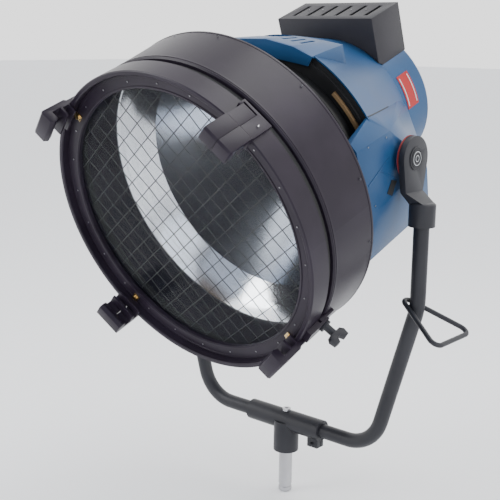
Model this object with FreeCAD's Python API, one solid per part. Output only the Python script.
"""Large daylight spotlight head on a tube yoke, as separate sub-parts.

Row frame: +Z up, the lens faces -Y, the tilt axis is parallel to X.
The origin is at the shoulder of the spigot, under the yoke's collar.

The head is drawn in its own frame: the tilt axis is at its origin, and a
point is given as x (across), a (forward along the lens axis) and u (up).
`on_head` tilts a finished shape down and lifts it to the pivot.
"""
import FreeCAD, Part
import math
import os

V = FreeCAD.Vector

# ---------------------------------------------------------------- driving sizes (mm)
PIVOT_Z = 655.0            # height of the tilt axis over the spigot's shoulder
TILT_DEG = 20.35           # how far the head points down at rest

TUBE_R = 15.0              # yoke tube
TUBE_WALL = 3.0
ARM_X = 307.5              # centre line of an upright arm
ARM_BEND_Z = PIVOT_Z - 282.0
BAR_Z = PIVOT_Z - 588.0
BAR_CORNER_X = 220.0
ARM_BEND_R = 150.0
BAR_BEND_R = 80.0
SOCKET_BOTTOM_Z = PIVOT_Z - 124.5
SOCKET_TOP_Z = PIVOT_Z - 84.0
SOCKET_R = 25.0

CASTING_X0, CASTING_X1 = 277.0, 289.0   # inner and outer face of an end casting
CASTING_R = 41.5
SHAFT_R = 12.0
RUNNING_GAP = 0.05
GAP = 0.4                  # air between neighbours on different bodies

SLEEVE_R, SLEEVE_HALF = 22.0, 95.0
COLLAR_R = 27.0
SPIGOT_R, SPIGOT_LENGTH = 14.3, 95.0
STUB_R = 12.0              # the spigot's own root, pressed into the collar

RIM_R = 300.0              # outside of the lens door ring
RIM_FRONT_A, RIM_REAR_A = 356.0, 308.0
GLASS_OPEN_R = 261.5
FRAME_FRONT_A = 340.0
DRUM_FRONT_A, DRUM_REAR_A = 293.0, 178.0
DRUM_REAR_R = 304.8

CONE_FRONT_A, CONE_FRONT_R = 60.0, 262.0
CONE_REAR_A, CONE_REAR_R = -185.0, 157.0
TAIL_A = -275.0
SHEET = 3.0                # sheet-metal thickness

REFLECTOR_VERTEX_A = -130.0
REFLECTOR_RIM_A, REFLECTOR_RIM_R = 200.0, 296.0
REFLECTOR_STEP_A, REFLECTOR_STEP_R = 140.0, 245.0   # where the bright outer band meets the bowl
REFLECTOR_HOLE_A = -111.0
REFLECTOR_WALL = 1.5
FOCAL = REFLECTOR_STEP_R ** 2 / (4 * (REFLECTOR_STEP_A - REFLECTOR_VERTEX_A))

SIDE_X = 262.0             # outer face of the side boxes
DOOR_HINGE_ANGLE = 143.0   # seen from the front, from +X towards up
DOOR_LOCK_ANGLE = -37.0
HINGE_R, HINGE_A = 313.0, 301.5
BRACKET_ANGLES = {"upper_right": 45.0, "upper_left": 135.0, "lower_left": 225.0, "lower_right": 315.0}
BRACKET_HALF = 29.0
LATCH_PIVOT_A, LATCH_PIVOT_RHO = 318.0, 303.6


# ---------------------------------------------------------------- helpers
def head_point(x, a, u):
    """A point of the head's own frame, lens axis along -Y."""
    return V(x, -a, u)


def on_head(shape):
    """Tilt a head shape down and lift it to the pivot."""
    placed = shape.copy()
    placed.rotate(V(0, 0, 0), V(1, 0, 0), TILT_DEG)
    placed.translate(V(0, 0, PIVOT_Z))
    return placed


def at_angle(shape, degrees):
    """Turn a shape drawn at 0 degrees (towards +X) about the lens axis."""
    turned = shape.copy()
    turned.rotate(V(0, 0, 0), V(0, -1, 0), degrees)
    return turned


def ring_of(profile, start=0.0, sweep=360.0):
    """Revolve an (a, radius) outline about the lens axis."""
    points = [V(r, -a, 0) for a, r in profile]
    face = Part.Face(Part.makePolygon(points + points[:1]))
    solid = face.revolve(V(0, 0, 0), V(0, -1, 0), sweep)
    return at_angle(solid, start)


def tube_ring(a0, a1, r0, r1):
    """A plain ring from a0 to a1 between two radii."""
    return ring_of([(a0, r0), (a1, r0), (a1, r1), (a0, r1)])


def head_box(x0, x1, a0, a1, u0, u1):
    return Part.makeBox(x1 - x0, a1 - a0, u1 - u0, V(x0, -a1, u0))


def head_rod(x, u, a0, a1, radius):
    """A round bar parallel to the lens axis."""
    return Part.makeCylinder(radius, a1 - a0, V(x, -a0, u), V(0, -1, 0))


def radial_rod(a, rho0, rho1, radius, t=0.0):
    """A round bar along the radius at 0 degrees; t is the sideways offset."""
    return Part.makeCylinder(radius, rho1 - rho0, V(rho0, -a, t), V(1, 0, 0))


def sideways_plate(outline, t0, t1):
    """An (a, rho) outline given thickness from t0 to t1 along the tangent."""
    points = [V(rho, -a, t0) for a, rho in outline]
    return Part.Face(Part.makePolygon(points + points[:1])).extrude(V(0, 0, t1 - t0))


def fuse_all(shapes):
    result = shapes[0]
    for shape in shapes[1:]:
        result = result.fuse(shape)
    return result.removeSplitter()


def cut_all(shape, tools):
    for tool in tools:
        shape = shape.cut(tool)
    return shape


def mirrored(shape):
    return shape.mirror(V(0, 0, 0), V(1, 0, 0))


def cone_radius(a):
    share = (a - CONE_REAR_A) / (CONE_FRONT_A - CONE_REAR_A)
    return CONE_REAR_R + share * (CONE_FRONT_R - CONE_REAR_R)


def bowl_radius(a):
    return math.sqrt(4 * FOCAL * (a - REFLECTOR_VERTEX_A))


PARTS = {}
BODY_SCREWS = []
DOOR_SCREWS = []


def save(name, shape):
    PARTS[name] = shape


def save_head(name, shape):
    PARTS[name] = on_head(shape)


# ---------------------------------------------------------------- yoke
def filleted_path(points, radii):
    """Straight runs joined by tangent arcs; one radius per inner corner."""
    edges, start = [], points[0]
    for before, corner, after, radius in zip(points, points[1:], points[2:], radii):
        into = (before - corner).normalize()
        out = (after - corner).normalize()
        half = into.getAngle(out) / 2
        leg = radius / math.tan(half)
        first, last = corner + into * leg, corner + out * leg
        middle_direction = (into + out).normalize()
        middle = corner + middle_direction * (radius / math.sin(half) - radius)
        edges.append(Part.makeLine(start, first))
        edges.append(Part.Arc(first, middle, last).toShape())
        start = last
    edges.append(Part.makeLine(start, points[-1]))
    return Part.Wire(edges)


def swept(path, radius):
    start = path.Edges[0]
    first = start.valueAt(start.FirstParameter)
    direction = start.tangentAt(start.FirstParameter)
    circle = Part.Wire(Part.makeCircle(radius, first, direction))
    return path.makePipeShell([circle], True, True)


def make_yoke():
    top = SOCKET_BOTTOM_Z + 30.0
    corners = [V(ARM_X, 0, top), V(ARM_X, 0, ARM_BEND_Z), V(BAR_CORNER_X, 0, BAR_Z),
               V(-BAR_CORNER_X, 0, BAR_Z), V(-ARM_X, 0, ARM_BEND_Z), V(-ARM_X, 0, top)]
    path = filleted_path(corners, [ARM_BEND_R, BAR_BEND_R, BAR_BEND_R, ARM_BEND_R])
    outer, inner = swept(path, TUBE_R), swept(path, TUBE_R - TUBE_WALL)
    save("yoke_tube", outer.cut(inner))

    casting = make_casting(top)
    save("yoke_casting_right", casting)
    save("yoke_casting_left", mirrored(casting))

    cap = Part.makeCylinder(22.0, 2.0, V(CASTING_X1, 0, PIVOT_Z), V(1, 0, 0))
    cap = cap.makeChamfer(0.8, [e for e in cap.Edges if e.BoundBox.XMin > CASTING_X1 + 1.9])
    ring = Part.makeCylinder(18.0, 0.8, V(CASTING_X1 + 2.0, 0, PIVOT_Z), V(1, 0, 0))
    ring = ring.cut(Part.makeCylinder(15.5, 0.8, V(CASTING_X1 + 2.0, 0, PIVOT_Z), V(1, 0, 0)))
    save("pivot_cap", fuse_all([cap, ring]))

    make_sleeve()
    save("loop_handle", make_loop_handle())


def make_casting(tube_top):
    """Teardrop plate round the pivot, a waisted neck and the tube's socket."""
    thick = CASTING_X1 - CASTING_X0
    disc = Part.makeCylinder(CASTING_R, thick, V(CASTING_X0, 0, PIVOT_Z), V(1, 0, 0))
    waist_half, waist_z = 30.0, PIVOT_Z - 62.0
    lean = math.asin((CASTING_R - waist_half) / (PIVOT_Z - waist_z))
    edge_y, edge_z = CASTING_R * math.cos(lean), PIVOT_Z - CASTING_R * math.sin(lean)
    outline = [V(CASTING_X0, -edge_y, edge_z), V(CASTING_X0, edge_y, edge_z),
               V(CASTING_X0, waist_half, waist_z), V(CASTING_X0, -waist_half, waist_z)]
    plate = Part.Face(Part.makePolygon(outline + outline[:1])).extrude(V(thick, 0, 0))
    waist_outline = [V(CASTING_X0, -waist_half, waist_z), V(CASTING_X1, -waist_half, waist_z),
                     V(CASTING_X1, waist_half, waist_z), V(CASTING_X0, waist_half, waist_z)]
    waist = Part.makePolygon(waist_outline + waist_outline[:1])
    reach = SOCKET_R * math.sqrt(0.5)
    socket_outline = [V(ARM_X - reach, -reach, SOCKET_TOP_Z), V(ARM_X + reach, -reach, SOCKET_TOP_Z),
                      V(ARM_X + reach, reach, SOCKET_TOP_Z), V(ARM_X - reach, reach, SOCKET_TOP_Z)]
    shoulder = Part.makeLoft([waist, Part.makePolygon(socket_outline + socket_outline[:1])], True, True)
    socket = Part.makeCylinder(SOCKET_R, SOCKET_TOP_Z + 4.0 - SOCKET_BOTTOM_Z, V(ARM_X, 0, SOCKET_BOTTOM_Z))
    socket = socket.makeChamfer(3.0, [e for e in socket.Edges if e.BoundBox.ZMin > SOCKET_TOP_Z + 3.9])
    body = disc.fuse([plate, shoulder, socket])
    shaft_bore = Part.makeCylinder(SHAFT_R + RUNNING_GAP, thick, V(CASTING_X0, 0, PIVOT_Z), V(1, 0, 0))
    tube_bore = Part.makeCylinder(TUBE_R, tube_top - SOCKET_BOTTOM_Z, V(ARM_X, 0, SOCKET_BOTTOM_Z))
    return cut_all(body, [shaft_bore, tube_bore])


def make_sleeve():
    """Sleeve on the bottom bar, its clamp and bolt, the collar and the spigot."""
    bar = Part.makeCylinder(TUBE_R, 2 * SLEEVE_HALF, V(-SLEEVE_HALF, 0, BAR_Z), V(1, 0, 0))
    sleeve = Part.makeCylinder(SLEEVE_R, 2 * SLEEVE_HALF, V(-SLEEVE_HALF, 0, BAR_Z), V(1, 0, 0))
    slit = Part.makeBox(24.0, 1.6, 2 * SLEEVE_R, V(SLEEVE_HALF - 22.0, -0.8, BAR_Z - 2 * SLEEVE_R))
    save("yoke_sleeve", cut_all(sleeve, [bar, slit]))

    ear_x, ear_length, ear_width, ear_height = SLEEVE_HALF - 30.0, 26.0, 22.0, 20.0
    ears = Part.makeBox(ear_length, ear_width, ear_height, V(ear_x, -ear_width / 2, BAR_Z - SLEEVE_R - 16.0))
    ears = cut_all(ears, [Part.makeCylinder(SLEEVE_R, 60.0, V(ear_x - 10.0, 0, BAR_Z), V(1, 0, 0)),
                          Part.makeBox(ear_length, 1.6, ear_height, V(ear_x, -0.8, BAR_Z - SLEEVE_R - 16.0))])
    screw = Part.makeCylinder(4.0, ear_width + 16.0, V(ear_x + 13.0, -ear_width / 2 - 8.0, BAR_Z - SLEEVE_R - 8.0),
                              V(0, 1, 0))
    save("sleeve_clamp", fuse_all([ears, screw]))

    head = Part.makeCylinder(9.0, 5.0, V(0, 0, BAR_Z + SLEEVE_R - 1.0))
    head = head.cut(Part.makeCylinder(SLEEVE_R, 60.0, V(-30.0, 0, BAR_Z), V(1, 0, 0)))
    head = head.cut(Part.makeCylinder(4.0, 2.5, V(0, 0, BAR_Z + SLEEVE_R + 1.5)))
    save("sleeve_bolt", head)

    collar = Part.makeCylinder(COLLAR_R, BAR_Z)
    collar = cut_all(collar, [Part.makeCylinder(SLEEVE_R, 80.0, V(-40.0, 0, BAR_Z), V(1, 0, 0)),
                              Part.makeCylinder(STUB_R, 30.0)])
    save("collar", collar)
    spigot = Part.makeCylinder(SPIGOT_R, SPIGOT_LENGTH, V(0, 0, -SPIGOT_LENGTH))
    spigot = spigot.makeChamfer(2.5, [e for e in spigot.Edges if e.BoundBox.ZMax < -SPIGOT_LENGTH + 0.1])
    groove = Part.makeCylinder(SPIGOT_R + 1.0, 7.0, V(0, 0, -85.0)).cut(
        Part.makeCylinder(SPIGOT_R - 1.5, 7.0, V(0, 0, -85.0)))
    save("spigot", fuse_all([spigot.cut(groove), Part.makeCylinder(STUB_R, 30.0)]))


HANDLE_APEX = (264.6, PIVOT_Z - 262.0)      # x and z of the inner corner
HANDLE_END = (387.0, PIVOT_Z - 327.0)       # x and z of the outer side
HANDLE_HALF, HANDLE_R, HANDLE_BEND_R = 66.0, 4.75, 14.0


def make_loop_handle():
    """A closed three-cornered loop of bent rod round the right arm."""
    apex = V(HANDLE_APEX[0], 0, HANDLE_APEX[1])
    front = V(HANDLE_END[0], -HANDLE_HALF, HANDLE_END[1])
    back = V(HANDLE_END[0], HANDLE_HALF, HANDLE_END[1])
    start = (front + back) * 0.5
    path = filleted_path([start, back, apex, front, start], [HANDLE_BEND_R] * 3)
    return swept(path, HANDLE_R)


# ---------------------------------------------------------------- hood over the housing
HOOD_FRONT_LINE = [(148.0, 218.0), (110.0, 236.0), (50.0, 250.0)]    # roof line (x, u), right half
HOOD_REAR_LINE = [(148.0, 206.0), (110.0, 213.0), (50.0, 221.0)]
HOOD_FLOOR_U = 149.0
HOOD_REAR_A, HOOD_FRONT_A = -28.0, 64.0


def roof_line(a, drop):
    """Right half of the hood's roof line at a station, lowered by the drop."""
    share = (a - HOOD_REAR_A) / (HOOD_FRONT_A - HOOD_REAR_A)
    line = [(x, rear + share * (front - rear)) for (x, front), (_, rear) in zip(HOOD_FRONT_LINE, HOOD_REAR_LINE)]
    side, shoulders = line[0], line[1:]
    return [(side[0] - drop, side[1] - drop)] + [(x, u - drop) for x, u in shoulders]


def hood_section(a, drop, end_u):
    """The roof line closed by a level line at the end height."""
    line = roof_line(a, drop)
    right = [(line[0][0], end_u)] + line
    points = [head_point(x, a, u) for x, u in right] + [head_point(-x, a, u) for x, u in reversed(right)]
    return Part.makePolygon(points + points[:1])


def hood_prism(drop, a0, a1):
    """The closed shape under the roof line, drawn smaller by the drop."""
    return Part.makeLoft([hood_section(a0, drop, HOOD_FLOOR_U), hood_section(a1, drop, HOOD_FLOOR_U)], True, True)


def above_hood(drop, a0, a1):
    """Everything over the roof line, up to a height no other sheet reaches."""
    return Part.makeLoft([hood_section(a0, drop, 300.0), hood_section(a1, drop, 300.0)], True, True)


def make_hood(cone_core):
    """Folded roof with six slots, and the upright plate that closes its front."""
    roof = hood_prism(0.0, HOOD_REAR_A, HOOD_FRONT_A).cut(hood_prism(SHEET, HOOD_REAR_A + SHEET, HOOD_FRONT_A))
    kept_core = cone_core.cut(above_hood(SHEET, HOOD_REAR_A, CONE_FRONT_A))
    sides = head_box(-200.0, 200.0, CONE_FRONT_A - 0.5, HOOD_FRONT_A, 100.0, 214.0)
    slots = [head_box(x - 3.5, x + 3.5, -8.0, 34.0, 203.0, 260.0) for x in (-100, -80, -60, 60, 80, 100)]
    roof = cut_all(roof, [kept_core, sides] + slots)
    roof = roof.common(tube_ring(HOOD_REAR_A, HOOD_FRONT_A, 0.0, 263.0))
    right = [(134.6, 200.0)] + roof_line(HOOD_FRONT_A, 0.0)
    lower = [(0.0, 217.6), (49.0, 215.6)]
    outline = lower + right
    points = [head_point(x, HOOD_FRONT_A, u) for x, u in outline]
    points += [head_point(-x, HOOD_FRONT_A, u) for x, u in reversed(outline) if x > 0]
    plate = Part.Face(Part.makePolygon(points + points[:1])).extrude(V(0, -SHEET, 0))
    plate = plate.common(tube_ring(HOOD_FRONT_A, HOOD_FRONT_A + SHEET, 0.0, 263.0))
    hood = max(roof.Solids, key=lambda solid: solid.Volume)
    return fuse_all([hood, plate])


# ---------------------------------------------------------------- drum and neck
def make_drum():
    front, rear = DRUM_FRONT_A, DRUM_REAR_A
    drum = ring_of([(front, 285.0), (front, 296.5), (front - 2.5, 299.5), (front - 7.0, 300.0),
                    (rear + 3.0, DRUM_REAR_R), (rear, DRUM_REAR_R - 1.5), (rear, DRUM_REAR_R - 4.0),
                    (front - 9.0, 296.8), (front - 3.5, 294.0), (front - 3.0, 285.0)])
    save_head("drum", drum)
    save_head("drum_rear_plate", tube_ring(rear, rear + SHEET, 283.0, 300.4))

    screws = []
    for angle in (80, 45, 10, -13, -36, 100, 135, 170, 193, 216, 250, 290):
        screws.append(at_angle(radial_rod(192.0, 304.3, 307.0, 4.5), angle))
    skin = ring_of([(front, 0), (front, 299.9), (rear, 304.95), (rear, 0)])
    save_head("drum_screws", Part.makeCompound([s.cut(skin) for s in screws]))

    neck = ring_of([(rear, 284.5), (156.0, 266.3), (156.0, 270.3), (146.0, 262.0), (146.0, 258.0), (140.0, 253.0),
                    (112.0, 239.0), (112.0, 243.5), (100.0, 237.5), (100.0, 233.0), (60.0, 213.0), (60.0, 209.5),
                    (140.0, 249.5), (rear, 281.5)])
    save_head("neck", neck)
    bulkhead = tube_ring(57.0, 60.0, 213.0, 257.2)
    ridge = tube_ring(60.0, 64.0, 240.0, 247.0)
    save_head("bulkhead", fuse_all([bulkhead, ridge]).cut(above_hood(SHEET, HOOD_REAR_A, 70.0)))
    strip = [(60.0, 228.0), (66.0, 228.0), (66.0, 235.0), (60.0, 235.0)]
    save_head("glow_strip", Part.makeCompound([ring_of(strip, 20, 20), ring_of(strip, 140, 20)]))


# ---------------------------------------------------------------- blue housing
def half_space(points, outward, size=900.0):
    """A thick slab on the outward side of the plane through three points."""
    origin = points[0]
    normal = (points[1] - origin).cross(points[2] - origin).normalize()
    if normal.dot(outward) < 0:
        normal = normal * -1
    along = (points[1] - origin).normalize()
    across = normal.cross(along)
    corner = origin - along * size / 2 - across * size / 2
    corners = [corner, corner + along * size, corner + along * size + across * size, corner + across * size]
    return Part.Face(Part.makePolygon(corners + corners[:1])).extrude(normal * size)


def shifted(points, outward, distance):
    """The same three points moved inwards by a distance."""
    normal = (points[1] - points[0]).cross(points[2] - points[0]).normalize()
    if normal.dot(outward) < 0:
        normal = normal * -1
    return [p - normal * distance for p in points]


POD_FACETS = {
    "lower side": [(SIDE_X, 0, -60), (SIDE_X, 100, -60), (222, 0, -172)],
    "roof": [(239, 56, 103), (255, 138, 84), (SIDE_X, 29, 66)],
    "top": [(239, 56, 103), (150, 56, 103), (239, 138, 87.7)],
    "rear": [(SIDE_X, 29, 66), (SIDE_X, -60, -30), (155, -192, 19)],
    "upper rear": [(239, 56, 103), (150, -183, 39), (SIDE_X, 29, 66)],
    "lower rear": [(155, -192, 19), (155, -118, -172), (240, -118, -172)],
    "outer rear": [(155, -192, 19), (SIDE_X, -72, -50), (222, -118, -172)],
}


def pod_solid(inset):
    """The faceted side box, or the same drawn smaller by the inset all round."""
    pod = head_box(90.0, SIDE_X - inset, -196.0 + inset, 138.0 - inset, -172.0 + inset, 160.0)
    for name, corners in POD_FACETS.items():
        points = [head_point(*c) for c in corners]
        outward = V(1, 0, 0) if name != "top" else V(0, 0, 1)
        if name in ("lower rear", "outer rear"):
            outward = V(0, 1, 0)
        pod = pod.cut(half_space(shifted(points, outward, inset), outward))
    return pod


def make_pods():
    cone_core = ring_of([(CONE_FRONT_A, 0), (CONE_FRONT_A, CONE_FRONT_R), (CONE_REAR_A, CONE_REAR_R), (CONE_REAR_A, 0)])
    neck_core = ring_of([(CONE_FRONT_A - 1.0, 0), (CONE_FRONT_A - 1.0, 256.5), (150.0, 256.5), (150.0, 0)])
    tail_core = ring_of([(CONE_REAR_A + 1.0, 0), (CONE_REAR_A + 1.0, CONE_REAR_R + 0.5), (TAIL_A, CONE_REAR_R + 0.5),
                         (TAIL_A, 0)])
    shell = pod_solid(0.0).cut(pod_solid(SHEET))
    slot_points = [head_point(x, a, u) for x, a, u in
                   ((240, 49, -23), (240, 34, -32), (240, 56, -53), (240, 70, -41))]
    slot = Part.Face(Part.makePolygon(slot_points + slot_points[:1])).extrude(V(40, 0, 0))
    hub_hole = Part.makeCylinder(SHAFT_R, 60.0, V(230.0, 0, 0), V(1, 0, 0))
    pod = cut_all(shell, [cone_core, neck_core, tail_core, slot, hub_hole])
    pod = max(pod.Solids, key=lambda s: s.Volume)
    save_head("side_pod_right", pod)
    save_head("side_pod_left", mirrored(pod))

    screws = [Part.makeCylinder(3.5, 1.6, head_point(SIDE_X, a, u), V(1, 0, 0))
              for a, u in ((45, 60), (103, 67), (112, -45), (-20, -48))]
    screws += [mirrored(s) for s in screws]
    BODY_SCREWS.extend(screws)

    hub = Part.makeCylinder(26.0, 11.6, V(SIDE_X, 0, 0), V(1, 0, 0))
    shaft = Part.makeCylinder(SHAFT_R, CASTING_X1 - 3.0 - 246.0, V(246.0, 0, 0), V(1, 0, 0))
    hub_right = fuse_all([hub, shaft])
    hub_left = mirrored(hub_right).cut(
        Part.makeCylinder(6.0 + RUNNING_GAP, 24.0, V(-CASTING_X1 + 3.0, 0, 0), V(1, 0, 0)))
    save_head("pivot_hub_right", hub_right)
    save_head("pivot_hub_left", hub_left)
    disc = Part.makeCylinder(42.0, 3.0, V(SIDE_X + 11.6, 0, 0), V(1, 0, 0))
    disc = disc.cut(Part.makeCylinder(SHAFT_R, 20.0, V(SIDE_X, 0, 0), V(1, 0, 0)))
    save_head("friction_disc_right", disc)
    save_head("friction_disc_left", mirrored(disc))


def make_housing():
    wall = SHEET * 1.09
    cone = ring_of([(CONE_FRONT_A, CONE_FRONT_R), (CONE_REAR_A, CONE_REAR_R), (CONE_REAR_A, CONE_REAR_R - wall),
                    (CONE_FRONT_A, CONE_FRONT_R - wall)])
    save_head("body_cone", cone.cut(above_hood(SHEET, HOOD_REAR_A, CONE_FRONT_A + 1.0)))

    tail = ring_of([(CONE_REAR_A, CONE_REAR_R), (TAIL_A + 5.0, CONE_REAR_R), (TAIL_A + 1.5, CONE_REAR_R - 1.5),
                    (TAIL_A, CONE_REAR_R - 5.0), (TAIL_A, 150.0), (TAIL_A + 3.0, 150.0),
                    (TAIL_A + 5.0, CONE_REAR_R - SHEET), (CONE_REAR_A, CONE_REAR_R - SHEET)])
    save_head("rear_housing", tail)

    cover = tube_ring(TAIL_A, TAIL_A + 3.0, 0.0, 149.8)
    dish = tube_ring(TAIL_A - 4.0, TAIL_A, 136.0, 142.0)
    cover = fuse_all([cover, dish])
    cover = cut_all(cover, [head_rod(FOCUS_X, FOCUS_U, TAIL_A - 5.0, TAIL_A + 4.0, 4.0 + RUNNING_GAP),
                            head_box(SWITCH_X - 14.0, SWITCH_X + 14.0, TAIL_A - 5.0, TAIL_A + 4.0, SWITCH_U - 20.0,
                                     SWITCH_U + 20.0)])
    rails = [head_rod(x, RAIL_U, TAIL_A + 3.0, -168.0, RAIL_R) for x in (-RAIL_X, RAIL_X)]
    save_head("rear_cover", fuse_all([cover] + rails))

    cone_core = ring_of([(CONE_FRONT_A, 0), (CONE_FRONT_A, CONE_FRONT_R), (CONE_REAR_A, CONE_REAR_R), (CONE_REAR_A, 0)])
    save_head("top_deck", make_hood(cone_core))


def make_vent_cap():
    half, front_a, rear_a, top_u, wall = 118.0, -174.0, TAIL_A, 205.0, 3.5
    outer = head_box(-half, half, rear_a, front_a, 96.0, top_u)
    inner = head_box(-half + wall, half - wall, rear_a + wall, front_a - wall, 90.0, top_u - wall)
    barrel = ring_of([(CONE_REAR_A, 0), (CONE_REAR_A, CONE_REAR_R + 0.3), (TAIL_A - 10.0, CONE_REAR_R + 0.3),
                      (TAIL_A - 10.0, 0)])
    front_barrel = ring_of([(-160.0, 0), (-160.0, 169.0), (CONE_REAR_A - 0.5, CONE_REAR_R + 1.5), (CONE_REAR_A - 0.5, 0)])
    slots = [head_box(x - 4.5, x + 4.5, -254.0, -194.0, 190.0, 210.0) for x in (-90, -54, -18, 18, 54, 90)]
    cap = cut_all(outer, [inner, barrel, front_barrel] + slots)
    save_head("vent_cap", max(cap.Solids, key=lambda s: s.Volume))
    screws = [Part.makeCylinder(4.0, 1.8, head_point(x, a, top_u), V(0, 0, 1))
              for x, a in ((36, -226), (72, -226), (-36, -226), (-72, -226))]
    save_head("body_screws", Part.makeCompound(BODY_SCREWS + screws))
    label = ring_of([(-196.0, CONE_REAR_R), (-196.0, CONE_REAR_R + 1.0), (-236.0, CONE_REAR_R + 1.0),
                     (-236.0, CONE_REAR_R)], 2.0, 26.0)
    save_head("label_plate", label)


# ---------------------------------------------------------------- optics and lamp
BOWL_STEPS = 14
FOCUS_X, FOCUS_U = 0.0, -90.0
SWITCH_X, SWITCH_U = -75.0, 60.0
RAIL_X, RAIL_U, RAIL_R = 60.0, -60.0, 5.0
CARRIAGE_A0, CARRIAGE_A1 = -214.0, -204.0


def bowl_wall(a0, a1, steps):
    """Part of the parabolic reflector, as a thin wall drawn outwards."""
    stations = [a1 + (a0 - a1) * i / steps for i in range(steps + 1)]
    inner = [V(bowl_radius(a), -a, 0) for a in stations]
    outer = [V(bowl_radius(a) + REFLECTOR_WALL, -a, 0) for a in stations]
    inner_edge, outer_edge = Part.BSplineCurve(), Part.BSplineCurve()
    inner_edge.interpolate(inner)
    outer_edge.interpolate(outer)
    wire = Part.Wire([inner_edge.toShape(), Part.makeLine(inner[-1], outer[-1]), outer_edge.toShape(),
                      Part.makeLine(outer[0], inner[0])])
    return Part.Face(wire).revolve(V(0, 0, 0), V(0, -1, 0), 360)


def make_reflector():
    """A shallow bright band in front, then the deep bowl behind it."""
    step_a, step_r, rim_a, rim_r = REFLECTOR_STEP_A, REFLECTOR_STEP_R, REFLECTOR_RIM_A, REFLECTOR_RIM_R
    band = ring_of([(step_a, step_r), (rim_a, rim_r), (rim_a, 299.6), (rim_a - 2.0, 299.6), (rim_a - 2.0, rim_r + 0.3),
                    (step_a, step_r + 2.0)])
    save_head("reflector_band", band)
    save_head("reflector_bowl", bowl_wall(REFLECTOR_HOLE_A, REFLECTOR_STEP_A, BOWL_STEPS))


def make_lamp():
    glass = ring_of([(-142.0, 0), (-142.0, 16.0), (-132.0, 19.0), (-112.0, 34.0), (-92.0, 41.0), (-62.0, 41.0),
                     (-40.0, 34.0), (-24.0, 18.0), (-12.0, 9.0), (6.0, 7.0), (10.0, 0)])
    save_head("lamp_bulb", glass)
    base = ring_of([(-180.0, 0), (-180.0, 24.0), (-150.0, 24.0), (-146.0, 20.0), (-142.0, 20.0), (-142.0, 0)])
    save_head("lamp_base", base)
    socket = fuse_all([tube_ring(CARRIAGE_A1, -180.0, 0.0, 33.0), head_box(-46, 46, CARRIAGE_A1, -190.0, -20, 20)])
    save_head("lamp_socket", socket)

    plate = head_box(-78.0, 78.0, CARRIAGE_A0, CARRIAGE_A1, -104.0, 44.0)
    holes = [head_rod(x, RAIL_U, CARRIAGE_A0 - 1, CARRIAGE_A1 + 1, RAIL_R + RUNNING_GAP) for x in (-RAIL_X, RAIL_X)]
    holes.append(head_rod(FOCUS_X, FOCUS_U, CARRIAGE_A0 - 1, CARRIAGE_A1 + 1, 5.0))
    save_head("lamp_carriage", cut_all(plate, holes))
    box = head_box(-55.0, 55.0, TAIL_A + 3.0, -236.0, 56.0, 118.0)
    save_head("ignitor_box", box.makeChamfer(3.0, box.Edges))

    screw = head_rod(FOCUS_X, FOCUS_U, -300.0, -176.0, 4.0)
    knob = head_rod(FOCUS_X, FOCUS_U, -306.0, TAIL_A - 5.0, 22.0)
    grips = []
    for step in range(12):
        angle = math.radians(30 * step)
        grips.append(head_rod(FOCUS_X + 23.0 * math.cos(angle), FOCUS_U + 23.0 * math.sin(angle), -307.0,
                              TAIL_A - 4.0, 2.6))
    save_head("focus_knob", fuse_all([cut_all(knob, grips), screw]))

    gland_x, gland_u = 70.0, -62.0
    flange = head_box(gland_x - 22, gland_x + 22, TAIL_A - 4.0, TAIL_A, gland_u - 22, gland_u + 22)
    barrel = head_rod(gland_x, gland_u, TAIL_A - 34.0, TAIL_A - 4.0, 15.0)
    collar = head_rod(gland_x, gland_u, TAIL_A - 22.0, TAIL_A - 12.0, 18.0)
    mouth = head_rod(gland_x, gland_u, TAIL_A - 35.0, TAIL_A - 8.0, 9.0)
    save_head("cable_gland", fuse_all([flange, barrel, collar]).cut(mouth))

    bezel = head_box(SWITCH_X - 18, SWITCH_X + 18, TAIL_A - 3.0, TAIL_A, SWITCH_U - 24, SWITCH_U + 24)
    cup = head_box(SWITCH_X - 14, SWITCH_X + 14, TAIL_A, TAIL_A + 16.0, SWITCH_U - 20, SWITCH_U + 20)
    cup_hollow = head_box(SWITCH_X - 12, SWITCH_X + 12, TAIL_A - 4.0, TAIL_A + 14.0, SWITCH_U - 18, SWITCH_U + 18)
    save_head("switch_bezel", fuse_all([bezel, cup]).cut(cup_hollow))
    rocker = Part.makeCylinder(20.0, 22.0, head_point(SWITCH_X - 11, TAIL_A + 12.0, SWITCH_U), V(1, 0, 0))
    rocker = rocker.common(head_box(SWITCH_X - 11, SWITCH_X + 11, TAIL_A - 8.0, TAIL_A + 8.0, SWITCH_U - 13.5,
                                    SWITCH_U + 13.5))
    save_head("switch_rocker", rocker)


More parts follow.
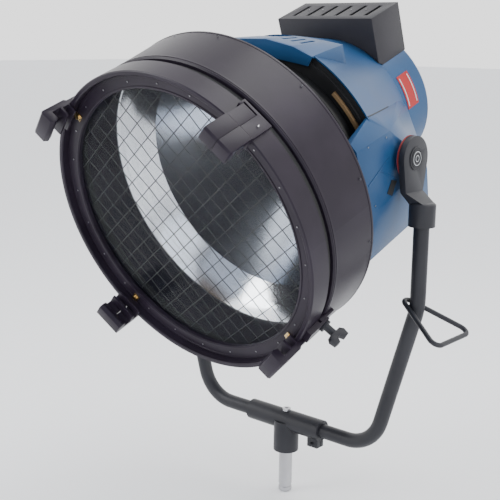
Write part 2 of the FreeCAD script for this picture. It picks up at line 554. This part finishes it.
# ---------------------------------------------------------------- lens door
def make_door():
    ring = ring_of([(RIM_REAR_A, 284.0), (RIM_REAR_A, 298.5), (RIM_REAR_A + 1.5, RIM_R), (RIM_FRONT_A - 2.0, RIM_R),
                    (RIM_FRONT_A, 298.0), (RIM_FRONT_A, 292.5), (RIM_FRONT_A - 2.0, 290.5), (FRAME_FRONT_A - 8.0, 290.0),
                    (FRAME_FRONT_A - 8.0, 287.0), (RIM_REAR_A + 4.0, 287.0), (RIM_REAR_A + 4.0, 284.0)])
    save_head("door_ring", fuse_all([ring, make_cable_eye()]))
    save_head("door_gasket", tube_ring(DRUM_FRONT_A + GAP, RIM_REAR_A, 284.5, 291.0))
    frame = ring_of([(FRAME_FRONT_A - 8.0, GLASS_OPEN_R), (FRAME_FRONT_A, GLASS_OPEN_R), (FRAME_FRONT_A, 289.8),
                     (FRAME_FRONT_A - 3.0, 289.8), (FRAME_FRONT_A - 8.0, 284.0)])
    save_head("lens_frame", frame)
    save_head("lens_glass", tube_ring(FRAME_FRONT_A - 14.0, FRAME_FRONT_A - 8.0, 0.0, 270.0))
    make_mesh()

    clips = []
    for angle in BRACKET_ANGLES.values():
        foot = sideways_plate([(FRAME_FRONT_A, 272), (FRAME_FRONT_A + 2, 272), (FRAME_FRONT_A + 2, 288),
                               (FRAME_FRONT_A, 288)], -7, 7)
        head = Part.makeCylinder(4.5, 4.0, V(280.0, -FRAME_FRONT_A - 2.0, 0), V(0, -1, 0))
        clips.append(at_angle(fuse_all([foot, head]), angle))
    save_head("glass_clips", Part.makeCompound(clips))
    for step in range(24):
        angle = 7.5 + 15.0 * step
        if min(abs((angle - b + 180) % 360 - 180) for b in BRACKET_ANGLES.values()) > 5:
            DOOR_SCREWS.append(at_angle(Part.makeCylinder(3.0, 1.5, V(275.0, -FRAME_FRONT_A, 0), V(0, -1, 0)), angle))


def make_cable_eye():
    """V-shaped eye under the door ring for the safety cable."""
    eye = sideways_plate([(330, 299), (350, 299), (350, 304), (340, 316), (330, 304)], -3, 3)
    eye = cut_all(eye, [Part.makeCylinder(3.0, 8.0, V(307.0, -340.0, -4.0)),
                        tube_ring(320.0, 356.0, 0.0, RIM_R)])
    return at_angle(eye, 256.0)


MESH_ANGLE, MESH_PITCH, WIRE_R = 37.0, 31.0, 0.9
MESH_A = FRAME_FRONT_A - 15.0


def make_mesh():
    """Two crossed layers of straight wires behind the glass."""
    reach = 266.0
    count = int(reach / MESH_PITCH)
    wires = []
    for layer, turn in enumerate((MESH_ANGLE, MESH_ANGLE + 90.0)):
        for step in range(-count, count + 1):
            offset = step * MESH_PITCH
            half = math.sqrt(reach ** 2 - offset ** 2)
            a = MESH_A - layer * 2 * WIRE_R
            wire = Part.makeCylinder(WIRE_R, 2 * half, V(-half, -a, offset), V(1, 0, 0))
            wires.append(at_angle(wire, turn))
    save_head("wire_mesh", Part.makeCompound(wires))


def comb_outline(base_a, base_rho):
    """Side view of a bracket: flat back, two slots for accessories, hooked front lip."""
    return [(base_a, base_rho), (356.6, base_rho), (356.6, 279), (361, 279), (361, 297), (374, 297), (374, 279),
            (379, 279), (379, 299), (398, 299), (398, 283), (408, 279), (416, 283), (416, 306), (413, 310),
            (362, 310), (356.6, 306.4), (base_a, 306.4)]


def make_brackets():
    ring_core = tube_ring(290.0, 356.6, 0.0, RIM_R)
    whole = sideways_plate(comb_outline(308.0, 298.0), -BRACKET_HALF, BRACKET_HALF).cut(ring_core)
    slit = head_box(296.0, 316.0, 322.0, 396.0, -1.0, 1.0)
    whole = whole.cut(slit)
    for name in ("upper_left", "lower_left", "lower_right"):
        save_head("bracket_" + name, at_angle(whole, BRACKET_ANGLES[name]))

    angle = BRACKET_ANGLES["upper_right"]
    fixed = sideways_plate(comb_outline(308.0, 298.0), -BRACKET_HALF, -0.4)
    bridge = sideways_plate([(308, 298), (313.5, 298), (313.5, 306.4), (308, 306.4)], -0.4, BRACKET_HALF + 4.5)
    ear = sideways_plate([(308, 298), (324, 298), (324, 306.4), (308, 306.4)], BRACKET_HALF + 0.5, BRACKET_HALF + 4.5)
    fixed = fuse_all([fixed, bridge, ear]).cut(ring_core)
    pin_r = 1.6
    pin = Part.makeCylinder(pin_r, BRACKET_HALF + 12.5, V(LATCH_PIVOT_RHO, -LATCH_PIVOT_A, -8.0))
    save_head("bracket_upper_right", at_angle(fuse_all([fixed, pin]), angle))

    outline = comb_outline(LATCH_PIVOT_A, 300.9)
    latch = sideways_plate(outline, 0.2, BRACKET_HALF)
    latch = latch.cut(tube_ring(290.0, 356.9, 0.0, RIM_R + 0.7))
    barrel = Part.makeCylinder(2.8, BRACKET_HALF - 0.2, V(LATCH_PIVOT_RHO, -LATCH_PIVOT_A, 0.2))
    latch = fuse_all([latch, barrel])
    latch = latch.cut(Part.makeCylinder(pin_r + RUNNING_GAP, BRACKET_HALF, V(LATCH_PIVOT_RHO, -LATCH_PIVOT_A, 0.2)))
    save_head("accessory_latch", at_angle(latch, angle))

    for name, angle in BRACKET_ANGLES.items():
        for t in (-17.0, 17.0):
            if name == "upper_right" and t > 0:
                continue
            DOOR_SCREWS.append(at_angle(radial_rod(331.0, 306.4, 308.6, 5.0, t), angle))
    save_head("door_screws", Part.makeCompound(DOOR_SCREWS))


def make_hinge_and_lock():
    """Door hinge at the upper left, wing knob at the lower right."""
    pin_r, knuckle_r, half = 2.5, 6.0, 24.0
    axis_start = V(HINGE_R, -HINGE_A, -half)
    pin = Part.makeCylinder(pin_r, 2 * half, axis_start)
    drum_leaf = sideways_plate([(262, 299), (294, 299), (HINGE_A, HINGE_R - 4), (HINGE_A - 3, HINGE_R + 3),
                                (292, 304.5), (262, 304.5)], -half, half)
    drum_skin = ring_of([(320.0, 0), (320.0, 300.0), (DRUM_FRONT_A - 7.0, 300.0), (DRUM_REAR_A + 3.0, DRUM_REAR_R),
                         (DRUM_REAR_A + 3.0, 0)])
    middle = Part.makeBox(60.0, 60.0, half + 0.6, V(HINGE_R - 12.0, -HINGE_A - 30.0, -half / 2 - 0.3))
    drum_knuckles = Part.makeCylinder(knuckle_r, 2 * half, axis_start)
    drum_side = fuse_all([drum_leaf, drum_knuckles]).cut(drum_skin)
    door_swing = Part.makeCylinder(HINGE_R - 298.0, half + 0.6, V(HINGE_R, -HINGE_A, -half / 2 - 0.3))
    notch = door_swing.common(head_box(0, 400, HINGE_A - 9.0, 400, -half, half))
    drum_side = drum_side.cut(middle.common(notch)).fuse(pin)
    save_head("hinge_leaf_drum", at_angle(drum_side.removeSplitter(), DOOR_HINGE_ANGLE))

    door_knuckle = Part.makeCylinder(knuckle_r, half, V(HINGE_R, -HINGE_A, -half / 2))
    door_leaf = sideways_plate([(HINGE_A, HINGE_R - 3), (309, 299), (338, 299), (338, 304.5), (312, 304.5),
                                (HINGE_A + 4, HINGE_R + 4)], -half / 2, half / 2)
    door_side = fuse_all([door_knuckle, door_leaf]).cut(tube_ring(300.0, 356.0, 0.0, RIM_R))
    door_side = door_side.cut(Part.makeCylinder(pin_r + RUNNING_GAP, half, V(HINGE_R, -HINGE_A, -half / 2)))
    save_head("hinge_leaf_door", at_angle(door_side, DOOR_HINGE_ANGLE))

    keeper = sideways_plate([(268, 298), (DRUM_FRONT_A, 298), (DRUM_FRONT_A, 293.5), (307, 293.5), (307, 305.6),
                             (268, 305.6)], -12, 12)
    keeper_core = drum_skin.common(head_box(-400, 400, 0, DRUM_FRONT_A, -400, 400))
    keeper = keeper.cut(keeper_core).cut(tube_ring(DRUM_FRONT_A - 7.0, DRUM_FRONT_A, 0, RIM_R))
    keeper = keeper.cut(radial_rod(300.0, 290.0, 310.0, 4.0 + RUNNING_GAP))
    save_head("latch_keeper", at_angle(keeper, DOOR_LOCK_ANGLE))

    lug = sideways_plate([(290, 306.0), (346, 306.0), (346, 311.0), (290, 311.0)], -12, 12)
    foot = sideways_plate([(312, 299), (346, 299), (346, 306), (312, 306)], -12, 12)
    lug = fuse_all([lug, foot]).cut(tube_ring(308.0, 356.0, 0, RIM_R))
    notch = head_box(300.0, 315.0, 285.0, 300.0, -4.6, 4.6).fuse(radial_rod(300.0, 300.0, 315.0, 4.6))
    save_head("door_lug", at_angle(lug.cut(notch), DOOR_LOCK_ANGLE))

    stud = radial_rod(300.0, 296.0, 330.0, 4.0)
    flange = radial_rod(300.0, 311.0 + GAP, 316.0, 12.0)
    waist = radial_rod(300.0, 316.0, 334.0, 7.0)
    wing = sideways_plate([(282, 352), (280, 340), (286, 333), (314, 333), (320, 340), (318, 352), (309, 353),
                           (304, 344), (296, 344), (291, 353)], -6.0, 6.0)
    save_head("door_knob", at_angle(fuse_all([stud, flange, waist, wing]), DOOR_LOCK_ANGLE))


def make_tilt_lever():
    """Lock handle outside the left casting; its stud turns in the left pivot shaft."""
    inner_x = -CASTING_X1 - GAP
    hub = Part.makeCylinder(24.0, 20.0, V(inner_x - 20.0, 0, 0), V(1, 0, 0))
    hub = hub.makeChamfer(2.5, [e for e in hub.Edges if e.BoundBox.XMax < inner_x - 19.0])
    stud = Part.makeCylinder(6.0, 22.0, V(inner_x - 1.0, 0, 0), V(1, 0, 0))
    reach = V(-0.2, 0.3, 0.93).normalize()
    start = V(inner_x - 11.0, 0, 0) + reach * 12.0
    arm = Part.makeCone(8.0, 6.0, 84.0, start, reach)
    grip = Part.makeCylinder(9.5, 46.0, start + reach * 84.0, reach)
    grip = grip.makeChamfer(2.0, [e for e in grip.Edges if e.Closed and len(e.Vertexes) == 1])
    lever = fuse_all([hub, stud, arm, grip])
    lever.translate(V(0, 0, PIVOT_Z))
    save("tilt_lever", lever)


def main():
    make_yoke()
    make_drum()
    make_housing()
    make_pods()
    make_vent_cap()
    make_reflector()
    make_lamp()
    make_door()
    make_brackets()
    make_hinge_and_lock()
    make_tilt_lever()
    os.makedirs("parts", exist_ok=True)
    for stale in os.listdir("parts"):
        os.remove(os.path.join("parts", stale))
    for name, shape in PARTS.items():
        shape.exportStep("parts/%s.step" % name)
        print("%-22s volume %10.0f mm3  solids %2d  valid %s" % (name, shape.Volume, len(shape.Solids), shape.isValid()))
    print(len(PARTS), "nodes")


main()
